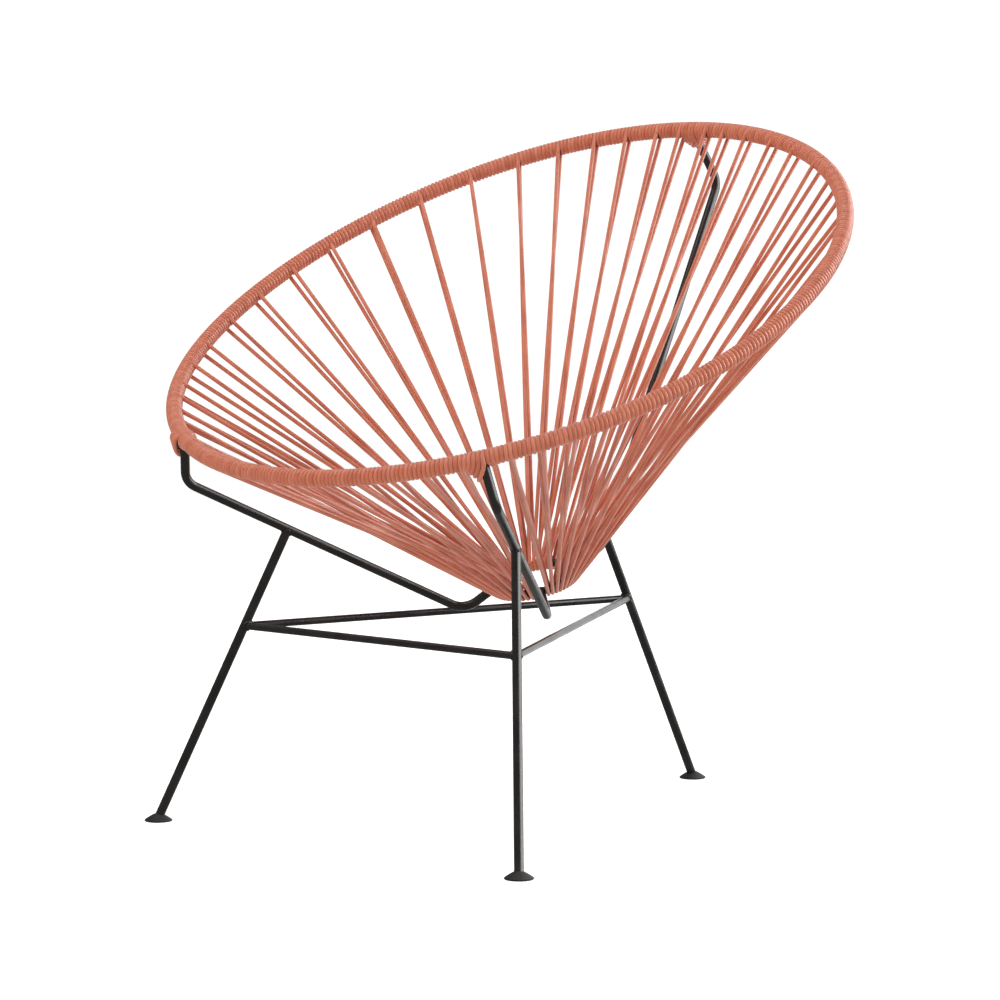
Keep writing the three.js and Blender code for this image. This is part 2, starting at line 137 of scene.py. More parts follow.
class Skin:
    """A material with one principled shader and the nodes that drive it."""

    def __init__(self, name: str, values: dict[str, object]) -> None:
        """Makes the material.

        Args:
            name: the material's name.
            values: constants for the shader's inputs.
        """
        self.material = bpy.data.materials.new(name)
        self.material.use_nodes = True
        self.tree = self.material.node_tree
        self.tree.nodes.clear()
        self.shader = add_node(self.tree, "ShaderNodeBsdfPrincipled", inputs=values)
        surface = {"Surface": self.shader.outputs["BSDF"]}
        add_node(self.tree, "ShaderNodeOutputMaterial", links=surface)

    def in_place(self) -> Socket:
        """Gives the place on the piece, in the piece's own space."""
        return add_node(self.tree, "ShaderNodeTexCoord").outputs["Object"]

    def noise(self, size_mm: float, detail: float, rough: float = 0.5) -> Socket:
        """Adds noise over the piece.

        Args:
            size_mm: the size of its grain.
            detail: how many finer layers it has.
            rough: how strong the finer layers are.

        Returns:
            The noise's strength.
        """
        values = {"Scale": 1 / (size_mm * MM), "Detail": detail, "Roughness": rough}
        links = {"Vector": self.in_place()}
        return add_node(self.tree, "ShaderNodeTexNoise", inputs=values, links=links).outputs["Fac"]

    def tint(self, driver: Socket, stops: Sequence[tuple[float, str]]) -> None:
        """Colours the shader through a ramp.

        Args:
            driver: the value that picks the colour.
            stops: places from 0 to 1 with their hex colours.
        """
        ramp = add_node(self.tree, "ShaderNodeValToRGB", links={"Fac": driver})
        elements = ramp.color_ramp.elements
        while len(elements) < len(stops):
            elements.new(0.5)
        for element, (place, colour) in zip(elements, stops):
            element.position = place
            element.color = linear(colour)
        self.tree.links.new(ramp.outputs["Color"], self.shader.inputs["Base Color"])

    def dull(self, driver: Socket, span: Span, middle: float, drift: Span) -> None:
        """Varies the shader's roughness.

        Args:
            driver: the value that picks the roughness.
            span: the driver's range.
            middle: the finish's roughness.
            drift: what is added to it at either end of the range.
        """
        values = {"From Min": span[0], "From Max": span[1]}
        values |= {"To Min": middle + drift[0], "To Max": middle + drift[1]}
        spread = add_node(self.tree, "ShaderNodeMapRange", inputs=values, links={"Value": driver})
        self.tree.links.new(spread.outputs["Result"], self.shader.inputs["Roughness"])

    def emboss(self, height: Socket, strength: float, depth_mm: float) -> None:
        """Raises the surface a little.

        Args:
            height: the value that raises it.
            strength: how much of the relief shows.
            depth_mm: the relief's height.
        """
        values = {"Strength": strength, "Distance": depth_mm * MM}
        bump = add_node(self.tree, "ShaderNodeBump", inputs=values, links={"Height": height})
        self.tree.links.new(bump.outputs["Normal"], self.shader.inputs["Normal"])


@dataclass(frozen=True)
class ExtrudedPvcCord:
    """Round solid PVC cord, extruded and wound tight.

    The die leaves a smooth satin skin with faint lengthwise dulling. The plastic is
    dyed through, so the tint drifts only slightly along the length.
    """

    name: str = "extruded_pvc_cord"
    tints: tuple = ((0.32, "c76847"), (0.5, "d37452"), (0.68, "db7f5f"))
    drift_mm: float = 55.0
    drift_detail: float = 2.0
    ior: float = 1.53
    sheen: float = 0.4
    sheen_roughness: float = 0.45
    depth_weight: float = 0.06
    depth_radius: Point = (1.0, 0.35, 0.2)
    depth_mm: float = 1.2
    grain_mm: float = 0.9
    grain_detail: float = 3.0
    grain_roughness: float = 0.6
    grain_span: Span = (0.3, 0.7)
    roughness: float = 0.4
    dulling: Span = (-0.06, 0.08)
    relief: float = 0.05
    relief_mm: float = 0.02

    def material(self) -> Material:
        """Builds the cord's material.

        Returns:
            The material.
        """
        values = {
            "IOR": self.ior,
            "Sheen Weight": self.sheen,
            "Sheen Roughness": self.sheen_roughness,
            "Subsurface Weight": self.depth_weight,
            "Subsurface Radius": self.depth_radius,
            "Subsurface Scale": self.depth_mm * MM,
        }
        skin = Skin(self.name, values)
        length = add_node(skin.tree, "ShaderNodeAttribute", {"attribute_name": "cord_run"})
        drift = add_node(
            skin.tree,
            "ShaderNodeTexNoise",
            {"noise_dimensions": "1D"},
            {"Scale": 1 / (self.drift_mm * MM), "Detail": self.drift_detail},
            {"W": length.outputs["Fac"]},
        )
        skin.tint(drift.outputs["Fac"], self.tints)
        grain = skin.noise(self.grain_mm, self.grain_detail, self.grain_roughness)
        skin.dull(grain, self.grain_span, self.roughness, self.dulling)
        skin.emboss(grain, self.relief, self.relief_mm)
        return skin.material


@dataclass(frozen=True)
class PowderCoatedSteel:
    """Steel rod under a satin near-black powder coat.

    The coat flows as it is baked, which leaves a fine orange peel that softens the
    highlights, and the odd duller patch.
    """

    name: str = "powder_coated_steel"
    tints: tuple = ((0.35, "1c1a18"), (0.7, "262320"))
    ior: float = 1.5
    patch_mm: float = 28.0
    patch_detail: float = 3.0
    patch_span: Span = (0.35, 0.65)
    roughness: float = 0.26
    dulling: Span = (-0.05, 0.07)
    peel_mm: float = 0.9
    peel_smoothness: float = 1.0
    relief: float = 0.12
    relief_mm: float = 0.03

    def material(self) -> Material:
        """Builds the coat's material.

        Returns:
            The material.
        """
        skin = Skin(self.name, {"IOR": self.ior})
        patch = skin.noise(self.patch_mm, self.patch_detail)
        skin.tint(patch, self.tints)
        skin.dull(patch, self.patch_span, self.roughness, self.dulling)
        peel = add_node(
            skin.tree,
            "ShaderNodeTexVoronoi",
            {"feature": "SMOOTH_F1"},
            {"Scale": 1 / (self.peel_mm * MM), "Smoothness": self.peel_smoothness},
            {"Vector": skin.in_place()},
        )
        skin.emboss(peel.outputs["Distance"], self.relief, self.relief_mm)
        return skin.material


@dataclass(frozen=True)
class MouldedRubber:
    """Moulded black rubber of the floor discs, matt with a bloom of dust."""

    name: str = "moulded_rubber"
    tints: tuple = ((0.4, "0f0e0d"), (0.8, "1b1918"))
    roughness: float = 0.7
    ior: float = 1.52
    grain_mm: float = 1.2
    grain_detail: float = 4.0
    relief: float = 0.2
    relief_mm: float = 0.08

    def material(self) -> Material:
        """Builds the rubber's material.

        Returns:
            The material.
        """
        skin = Skin(self.name, {"IOR": self.ior, "Roughness": self.roughness})
        grain = skin.noise(self.grain_mm, self.grain_detail)
        skin.tint(grain, self.tints)
        skin.emboss(grain, self.relief, self.relief_mm)
        return skin.material


@dataclass(frozen=True)
class LitPaper:
    """The studio's white paper floor, lit through from below so that shadows stay faint."""

    name: str = "lit_paper"
    colour: str = "fcfcfc"
    roughness: float = 0.95
    shine: float = 0.1
    glow: float = 0.6

    def material(self) -> Material:
        """Builds the paper's material.

        Returns:
            The material.
        """
        values = {
            "Base Color": linear(self.colour),
            "Roughness": self.roughness,
            "Specular IOR Level": self.shine,
            "Emission Color": linear(self.colour),
            "Emission Strength": self.glow,
        }
        return Skin(self.name, values).material


# Shared shapes


def finish_piece(piece: Piece, material: Material, nodes: Sequence[str] = ()) -> None:
    """Dresses a piece, makes it ride and hides the CAD nodes that it stands for.

    Args:
        piece: the new piece.
        material: its material.
        nodes: CAD nodes that the piece replaces.
    """
    piece.data.materials.clear()
    piece.data.materials.append(material)
    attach(piece, ROOT)
    if nodes:
        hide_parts(*nodes)
    log.info("%s: %d faces", piece.name, len(piece.data.polygons))


def link_object(name: str, data: bpy.types.ID) -> Piece:
    """Makes an object of some data and links it into the scene."""
    thing = bpy.data.objects.new(name, data)
    bpy.context.scene.collection.objects.link(thing)
    return thing


def mesh_piece(name: str, shape: Shape) -> Piece:
    """Turns a bmesh into a smooth-shaded object at the origin.

    Args:
        name: the object's name.
        shape: the bmesh, which is freed.

    Returns:
        The new object.
    """
    mesh = bpy.data.meshes.new(name)
    shape.to_mesh(mesh)
    shape.free()
    mesh.shade_smooth()
    mesh.set_sharp_from_angle(angle=SHARP_ANGLE)
    return link_object(name, mesh)


def spin_shape(shape: Shape, outline: Sequence, steps: int) -> None:
    """Spins an outline of vertices and edges once round the Z axis.

    Args:
        shape: the bmesh that holds it.
        outline: its vertices and edges.
        steps: how many sides the round shape has.
    """
    round_z = {"cent": (0, 0, 0), "axis": (0, 0, 1), "angle": FULL_TURN}
    bmesh.ops.spin(shape, geom=outline, steps=steps, use_merge=True, **round_z)


def section_matrix(place: Vector, heading: Vector, side: Vector) -> Matrix:
    """Gives the frame of a rod's section.

    Args:
        place: the middle of the section.
        heading: the direction of the rod.
        side: a direction across the rod, near enough.

    Returns:
        A matrix whose Z axis is the heading.
    """
    z = heading.normalized()
    x = (side - side.dot(z) * z).normalized()
    y = z.cross(x)
    turn = Matrix((x, y, z)).transposed().to_4x4()
    return Matrix.Translation(place) @ turn


def sweep_rod(shape: Shape, path: Line, radius: float) -> None:
    """Extrudes a circle along a path into a closed rod.

    Args:
        shape: the bmesh that the rod goes into.
        path: points on the rod's centre line.
        radius: the rod's radius.
    """
    count = len(path)
    headings = [path[min(i + 1, count - 1)] - path[max(i - 1, 0)] for i in range(count)]
    side = headings[0].orthogonal()
    frames = []
    for place, heading in zip(path, headings):
        frames.append(section_matrix(place, heading, side))
        side = frames[-1].col[0].to_3d()
    circle = bmesh.ops.create_circle(
        shape, cap_ends=False, radius=radius, segments=ROD_SIDES, matrix=frames[0]
    )
    edges = list({edge for vert in circle["verts"] for edge in vert.link_edges})
    first_edges = list(edges)
    for before, after in zip(frames, frames[1:]):
        grown = bmesh.ops.extrude_edge_only(shape, edges=edges)
        verts = [item for item in grown["geom"] if isinstance(item, bmesh.types.BMVert)]
        edges = [item for item in grown["geom"] if isinstance(item, bmesh.types.BMEdge)]
        bmesh.ops.transform(shape, matrix=after @ before.inverted(), verts=verts)
    bmesh.ops.edgeloop_fill(shape, edges=first_edges)
    bmesh.ops.edgeloop_fill(shape, edges=edges)
    bmesh.ops.recalc_face_normals(shape, faces=shape.faces)


def tube_from_points(
    name: str,
    points: Line,
    thickness: Sequence[float],
    radius: float,
    resolution: int,
    cyclic: bool = False,
) -> Piece:
    """Makes a mesh tube along a long route of points.

    Args:
        name: the piece's name.
        points: the route.
        thickness: a share of the radius at each point.
        radius: the tube's radius.
        resolution: how finely the section is cut.
        cyclic: whether the route closes.

    Returns:
        The tube, with its run along the route kept in the attribute cord_run.
    """
    curve = bpy.data.curves.new(name + "_route", "CURVE")
    curve.dimensions = "3D"
    curve.bevel_depth = radius
    curve.bevel_resolution = resolution
    curve.use_fill_caps = not cyclic
    spline = curve.splines.new("POLY")
    spline.points.add(len(points) - 1)
    spline.points.foreach_set("co", [value for p in points for value in (p.x, p.y, p.z, 1.0)])
    spline.points.foreach_set("radius", list(thickness))
    spline.use_cyclic_u = cyclic
    holder = link_object(name + "_route", curve)
    graph = bpy.context.evaluated_depsgraph_get()
    mesh = bpy.data.meshes.new_from_object(holder.evaluated_get(graph))
    mesh.name = name
    bpy.data.objects.remove(holder)
    bpy.data.curves.remove(curve)
    runs = [0.0]
    for before, after in zip(points, points[1:]):
        runs.append(runs[-1] + (after - before).length)
    around = len(mesh.vertices) // len(points)
    run = mesh.attributes.new("cord_run", "FLOAT", "POINT")
    values = [value for value in runs for _ in range(around)]
    values += [runs[-1]] * (len(mesh.vertices) - len(values))
    run.data.foreach_set("value", values)
    mesh.shade_smooth()
    return link_object(name, mesh)


def rounded_path(corners: Line, bends: Sequence[float], steps: int) -> list[Vector]:
    """Rounds each inner corner of a path with its own bend radius.

    Args:
        corners: the ends and corners of the path.
        bends: a bend radius for each inner corner.
        steps: points in each bend.

    Returns:
        Points along the rounded path.
    """
    path = [corners[0].copy()]
    for before, corner, after, bend in zip(corners, corners[1:], corners[2:], bends):
        into = (corner - before).normalized()
        out = (after - corner).normalized()
        half = into.angle(out) / 2
        centre = corner + (out - into).normalized() * bend / math.cos(half)
        start = corner - into * bend * math.tan(half) - centre
        axis = into.cross(out).normalized()
        for step in range(steps + 1):
            path.append(centre + Matrix.Rotation(2 * half * step / steps, 3, axis) @ start)
    path.append(corners[-1].copy())
    return path


def ease(value: float, low: float = 0.0, high: float = 1.0) -> float:
    """Goes smoothly from 0 to 1 as the value goes from the low to the high one."""
    share = min(max((value - low) / (high - low), 0.0), 1.0)
    return share * share * (3 - 2 * share)


@dataclass(frozen=True)
class Hoop:
    """A tilted round hoop of rod. Angle 0 is its low front, a quarter turn is +X."""

    half_width: float
    half_length: float
    back: float
    height: float
    tilt: float
    bow: float
    rod_radius: float
    probe: float = math.pi / 360

    @property
    def fall(self) -> Vector:
        """The direction down the hoop's slope."""
        return Vector((0, -math.cos(self.tilt), -math.sin(self.tilt)))

    @property
    def rise(self) -> Vector:
        """The direction out of the hoop's plane."""
        return Vector((0, -math.sin(self.tilt), math.cos(self.tilt)))

    def point(self, angle: float) -> Vector:
        """Gives the centre line's point at an angle."""
        side = Vector((self.half_width * math.sin(angle), self.back, self.height))
        slope = self.fall * self.half_length * math.cos(angle)
        return side + slope + self.rise * self.bow * math.cos(2 * angle)

    def along(self, angle: float) -> Vector:
        """Gives the direction along the hoop."""
        return (self.point(angle + self.probe) - self.point(angle - self.probe)).normalized()

    def across(self, angle: float) -> tuple[Vector, Vector]:
        """Gives the outward and the upward direction at an angle."""
        along = self.along(angle)
        outward = along.cross(self.rise).normalized()
        return outward, outward.cross(along).normalized()

    def spot(self, angle: float, turn: float, radius: float) -> Vector:
        """Gives a point round the hoop's section.

        Args:
            angle: place along the hoop.
            turn: place round the section, from the top towards the outside.
            radius: distance from the centre line.

        Returns:
            The point.
        """
        outward, upward = self.across(angle)
        return self.point(angle) + radius * (upward * math.cos(turn) + outward * math.sin(turn))


RIM = Hoop(
    half_width=381 * MM,
    half_length=375.7 * MM,
    back=-16.992 * MM,
    height=563.2 * MM,
    tilt=math.radians(28.3),
    bow=6 * MM,
    rod_radius=4.6 * MM,
)
RING = Hoop(
    half_width=44.1 * MM,
    half_length=44.1 * MM,
    back=33.908 * MM,
    height=255.5 * MM,
    tilt=math.radians(18.5),
    bow=0.0,
    rod_radius=4 * MM,
)


# Steel frame


@dataclass
class SteelFrame:
    """The welded frame: bottom ring, bent arms, straight legs and a stretcher triangle."""

    arm_radius: float = 5 * MM
    leg_radius: float = 5 * MM
    stretcher_radius: float = 4 * MM
    top_bend: float = 20 * MM
    low_bend: float = 25 * MM
    top_angle: float = math.radians(33.5)
    ring_angle: float = math.radians(47)
    front_elbow: Point = (219.4 * MM, -283.952 * MM, 368.94 * MM)
    front_knee: Point = (60.1 * MM, -13.712 * MM, 219.8 * MM)
    back_elbow: Point = (0, 357.858 * MM, 686.5 * MM)
    back_knee: Point = (0, 148.63 * MM, 279.8 * MM)
    front_leg_share: float = 0.36
    back_leg_share: float = 0.966
    front_foot: Point = (256.8 * MM, -291.792 * MM, 3.2 * MM)
    back_foot: Point = (0, 316.208 * MM, 3.2 * MM)
    front_bar_height: float = 211 * MM
    back_bar_height: float = 219.5 * MM
    bead_radius: float = 1.1 * MM
    stretcher_bead_radius: float = 1.7 * MM
    bead_points: int = 40
    bead_ripples: float = 5
    bead_ripple: float = 0.16
    bead_drift_rate: float = 1.7
    bead_drift: float = 0.1
    bead_resolution: int = 3
    bend_steps: int = 14
    ring_sides: int = 96
    finish: PowderCoatedSteel = field(default_factory=PowderCoatedSteel)

    def mirrored(self, point: Point, arm: Arm) -> Vector:
        """Gives a point of the right side on the side of an arm."""
        return Vector((SIDES[arm] * point[0], point[1], point[2]))

    def rim_angle(self, arm: Arm) -> float:
        """Gives the angle on the rim where an arm ends."""
        return math.pi if arm is Arm.BACK else math.copysign(self.top_angle, SIDES[arm])

    def joint_angle(self, arm: Arm) -> float:
        """Gives the angle on the bottom ring where an arm ends."""
        return math.pi if arm is Arm.BACK else math.copysign(self.ring_angle, SIDES[arm])

    def arm_corners(self, arm: Arm) -> list[Vector]:
        """Gives the ends and corners of an arm."""
        back = arm is Arm.BACK
        return [
            RIM.point(self.rim_angle(arm)),
            self.mirrored(self.back_elbow if back else self.front_elbow, arm),
            self.mirrored(self.back_knee if back else self.front_knee, arm),
            RING.point(self.joint_angle(arm)),
        ]

    def arm_top(self, arm: Arm) -> tuple[Vector, Vector]:
        """Gives an arm's end on the rim and the direction down from it."""
        corners = self.arm_corners(arm)
        return corners[0], (corners[1] - corners[0]).normalized()

    def leg_ends(self, arm: Arm) -> tuple[Vector, Vector]:
        """Gives the top and the foot of the leg under an arm."""
        corners = self.arm_corners(arm)
        share = self.back_leg_share if arm is Arm.BACK else self.front_leg_share
        foot = self.back_foot if arm is Arm.BACK else self.front_foot
        return corners[1].lerp(corners[2], share), self.mirrored(foot, arm)

    def bar_end(self, arm: Arm) -> Vector:
        """Gives the point on a leg where the stretchers meet it."""
        top, foot = self.leg_ends(arm)
        height = self.back_bar_height if arm is Arm.BACK else self.front_bar_height
        return foot.lerp(top, (height - foot.z) / (top.z - foot.z))

    def build_ring(self) -> Piece:
        """Spins the bottom ring from a circle."""
        shape = bmesh.new()
        place = Matrix.Translation((RING.half_width, 0, 0)) @ Matrix.Rotation(math.pi / 2, 4, "X")
        circle = bmesh.ops.create_circle(
            shape, cap_ends=False, radius=RING.rod_radius, segments=ROD_SIDES, matrix=place
        )
        geom = circle["verts"] + list({e for v in circle["verts"] for e in v.link_edges})
        spin_shape(shape, geom, self.ring_sides)
        bmesh.ops.recalc_face_normals(shape, faces=shape.faces)
        turn = Matrix.Rotation(RING.tilt, 4, "X")
        centre = Matrix.Translation((0, RING.back, RING.height))
        bmesh.ops.transform(shape, matrix=centre @ turn, verts=shape.verts)
        return mesh_piece("bottom_ring_rod", shape)

    def build_rod(self, name: str, path: Line, radius: float) -> Piece:
        """Sweeps one rod of the frame along its path."""
        shape = bmesh.new()
        sweep_rod(shape, path, radius)
        return mesh_piece(name, shape)

    def bead_path(
        self, start: Vector, toward: Vector, radius: float, other: Line, other_radius: float
    ) -> list[Vector]:
        """Finds where a rod's surface meets the surface of the rod that it is welded to.

        Args:
            start: the end of the rod, inside the other rod.
            toward: a point further out on the rod.
            radius: the rod's radius.
            other: two points on the other rod's straight centre line.
            other_radius: the other rod's radius.

        Returns:
            Points round the joint.
        """
        heading = (toward - start).normalized()
        axis = (other[1] - other[0]).normalized()
        side = heading.orthogonal().normalized()
        lift = heading.cross(side)
        points = []
        for i in range(self.bead_points):
            turn = FULL_TURN * i / self.bead_points
            foot = start + radius * (side * math.cos(turn) + lift * math.sin(turn)) - other[0]
            across = foot - foot.dot(axis) * axis
            slope = heading - heading.dot(axis) * axis
            a = slope.dot(slope)
            b = 2 * across.dot(slope)
            c = across.dot(across) - other_radius**2
            root = math.sqrt(max(b * b - 4 * a * c, 0.0))
            points.append(foot + other[0] + heading * (root - b) / (2 * a))
        return points

    def build_bead(self, name: str, points: Line, radius: float) -> Piece:
        """Runs an uneven weld bead round a joint.

        Args:
            name: the piece's name.
            points: the joint's line.
            radius: the bead's radius.

        Returns:
            The bead.
        """
        waves = []
        for i in range(self.bead_points):
            ripple = self.bead_ripple * math.sin(i * FULL_TURN / self.bead_ripples)
            waves.append(1 + ripple + self.bead_drift * math.sin(i * self.bead_drift_rate))
        return tube_from_points(name, points, waves, radius, self.bead_resolution, cyclic=True)

    def build_arm(self, arm: Arm, coat: Material) -> None:
        """Builds one arm and the leg under it, with the bead at each one's welded end.

        Args:
            arm: the arm.
            coat: the frame's material.
        """
        corners = self.arm_corners(arm)
        path = rounded_path(corners, [self.top_bend, self.low_bend], self.bend_steps)
        rod = self.build_rod(f"arm_{arm.value}_rod", path, self.arm_radius)
        finish_piece(rod, coat, [f"arm_{arm.value}"])
        top, foot = self.leg_ends(arm)
        leg = self.build_rod(f"leg_{arm.value}_rod", [top, foot], self.leg_radius)
        finish_piece(leg, coat, [f"leg_{arm.value}"])
        joint = RING.along(self.joint_angle(arm))
        ring_line = [corners[3] - joint, corners[3] + joint]
        beads = {
            "leg": self.bead_path(top, foot, self.leg_radius, corners[1:3], self.arm_radius),
            "arm": self.bead_path(
                corners[3], corners[2], self.arm_radius, ring_line, RING.rod_radius
            ),
        }
        for name, bead in beads.items():
            piece = self.build_bead(f"{name}_{arm.value}_bead", bead, self.bead_radius)
            finish_piece(piece, coat)

    def build_stretcher(self, name: str, ends: tuple[Arm, Arm], coat: Material) -> None:
        """Builds one stretcher with a bead at each end.

        Args:
            name: the stretcher's name.
            ends: the arms over the legs that it joins.
            coat: the frame's material.
        """
        path = [self.bar_end(arm) for arm in ends]
        bar = self.build_rod(f"stretcher_{name}_rod", path, self.stretcher_radius)
        finish_piece(bar, coat, [f"stretcher_{name}"])
        for i, arm in enumerate(ends):
            bead = self.bead_path(
                path[i], path[1 - i], self.stretcher_radius, self.leg_ends(arm), self.leg_radius
            )
            bead_name = f"stretcher_{name}_{arm.value}_bead"
            piece = self.build_bead(bead_name, bead, self.stretcher_bead_radius)
            finish_piece(piece, coat)

    def build(self) -> None:
        """Builds and dresses every rod and bead of the frame."""
        coat = self.finish.material()
        finish_piece(self.build_ring(), coat, ["bottom_ring"])
        rim_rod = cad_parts["rim_rod"]
        rim_rod.data.materials.clear()
        rim_rod.data.materials.append(coat)
        for arm in Arm:
            self.build_arm(arm, coat)
        self.build_stretcher("front", (Arm.RIGHT, Arm.LEFT), coat)
        self.build_stretcher("right", (Arm.RIGHT, Arm.BACK), coat)
        self.build_stretcher("left", (Arm.BACK, Arm.LEFT), coat)


@dataclass
class FloorDiscs:
    """The three low discs that the legs stand on, flared from a thin edge up to the leg."""

    radius: float = 15 * MM
    edge_height: float = 1.4 * MM
    height: float = 9 * MM
    chamfer: float = 0.5 * MM
    flare: float = 1.5
    dome_steps: int = 10
    sides: int = 64
    merge_reach: float = 0.01 * MM
    finish: MouldedRubber = field(default_factory=MouldedRubber)

    def build_disc(self, name: str, centre: Vector) -> Piece:
        """Spins one disc from its profile.

        Args:
            name: the piece's name.
            centre: the middle of its underside.

        Returns:
            The disc.
        """
        shape = bmesh.new()
        profile = [
            (0.0, 0.0),
            (self.radius - self.chamfer, 0.0),
            (self.radius, self.chamfer),
            (self.radius, self.edge_height),
        ]
        for i in range(1, self.dome_steps + 1):
            turn = math.pi / 2 * i / self.dome_steps
            reach = max(math.cos(turn), 0.0)
            rise = (self.height - self.edge_height) * (1 - reach**self.flare)
            profile.append((self.radius * reach, self.edge_height + rise))
        verts = [shape.verts.new((x, 0, z)) for x, z in profile]
        edges = [shape.edges.new(pair) for pair in zip(verts, verts[1:])]
        spin_shape(shape, verts + edges, self.sides)
        bmesh.ops.remove_doubles(shape, verts=shape.verts, dist=self.merge_reach)
        bmesh.ops.recalc_face_normals(shape, faces=shape.faces)
        bmesh.ops.translate(shape, vec=centre, verts=shape.verts)
        return mesh_piece(name, shape)

    def build(self, steel: SteelFrame) -> None:
        """Builds and dresses the three discs."""
        rubber = self.finish.material()
        for arm in Arm:
            foot = steel.leg_ends(arm)[1]
            disc = self.build_disc(f"floor_disc_{arm.value}", Vector((foot.x, foot.y, 0)))
            finish_piece(disc, rubber, [f"foot_{arm.value}"])


# Cord


@dataclass(frozen=True)
class Spoke:
    """One trip of the cord from the rim to the ring and back."""

    rim_angle: float
    ring_angle: float


@dataclass(frozen=True)
class RoutePoint:
    """A point on the cord's centre line, its place on the rim and its thickness."""

    angle: float
    place: Vector
    thickness: float = 1.0


@dataclass(frozen=True)
class Panel:
    """The spokes between two arms, with the turns wound on the rim between them."""

    name: str
    turns: tuple[int, ...]
    before: Arm
    after: Arm


PANELS = (
    Panel("cord_front", (5, 8, 8, 8, 9, 9, 9, 9, 8, 8, 8, 5), Arm.LEFT, Arm.RIGHT),
    Panel(
        "cord_right",
        (6, 7, 7, 7, 7, 9, 10, 11, 13, 14, 13, 14, 14, 13, 12, 12, 10, 10, 8, 6, 5),
        Arm.RIGHT,
        Arm.BACK,
    ),
    Panel(
        "cord_left",
        (3, 7, 9, 9, 10, 11, 13, 14, 14, 13, 13, 13, 13, 13, 11, 11, 8, 8, 8, 9),
        Arm.BACK,
        Arm.LEFT,
    ),
)


@dataclass(frozen=True)
class Section:
    """A stretch of the cord that stands in for one CAD node, up to a rim angle."""

    name: str
    end: float


@dataclass(frozen=True)
class Winding:
    """Turns wound on the rim between two spokes, along it and round its section."""

    start: float
    end: float
    turn_start: float
    turn_end: float

    def turn(self, angle: float) -> float:
        """Gives the place round the rim's section at an angle along it."""
        share = (angle - self.start) / (self.end - self.start)
        return self.turn_start + (self.turn_end - self.turn_start) * share

    def angle(self, turn: float) -> float:
        """Gives the angle along the rim at a place round its section."""
        share = (turn - self.turn_start) / (self.turn_end - self.turn_start)
        return self.start + (self.end - self.start) * share


@dataclass(frozen=True)
class ArmLobe:
    """Turns beside an arm top, drawn far down along it on one side and little on the other.

    The side is 1 where the lobe lies towards growing rim angles, and -1 where it lies
    the other way. The overlap is how far the last drawn turn passes over the arm.
    """

    side: int
    run: float = 24 * MM
    depth: float = 15 * MM
    plain_run: float = 16 * MM
    plain_depth: float = 2.5 * MM
    overlap: float = 2.5 * MM
    bulge: float = 0.3
    pinch: float = 0.5
    gather: float = 2.0
    crossing: float = 0.1
    plain_crossing: float = 0.4


LOBES = {
    Arm.RIGHT: ArmLobe(side=-1, run=22 * MM, depth=16 * MM, gather=1.8),
    Arm.BACK: ArmLobe(
        side=1, run=22 * MM, depth=16 * MM, plain_run=20 * MM, plain_depth=12 * MM,
        overlap=8 * MM, gather=1.2, crossing=0.45,
    ),
    Arm.LEFT: ArmLobe(side=-1, depth=16 * MM, bulge=0.7, gather=1.3, crossing=-0.15),
}


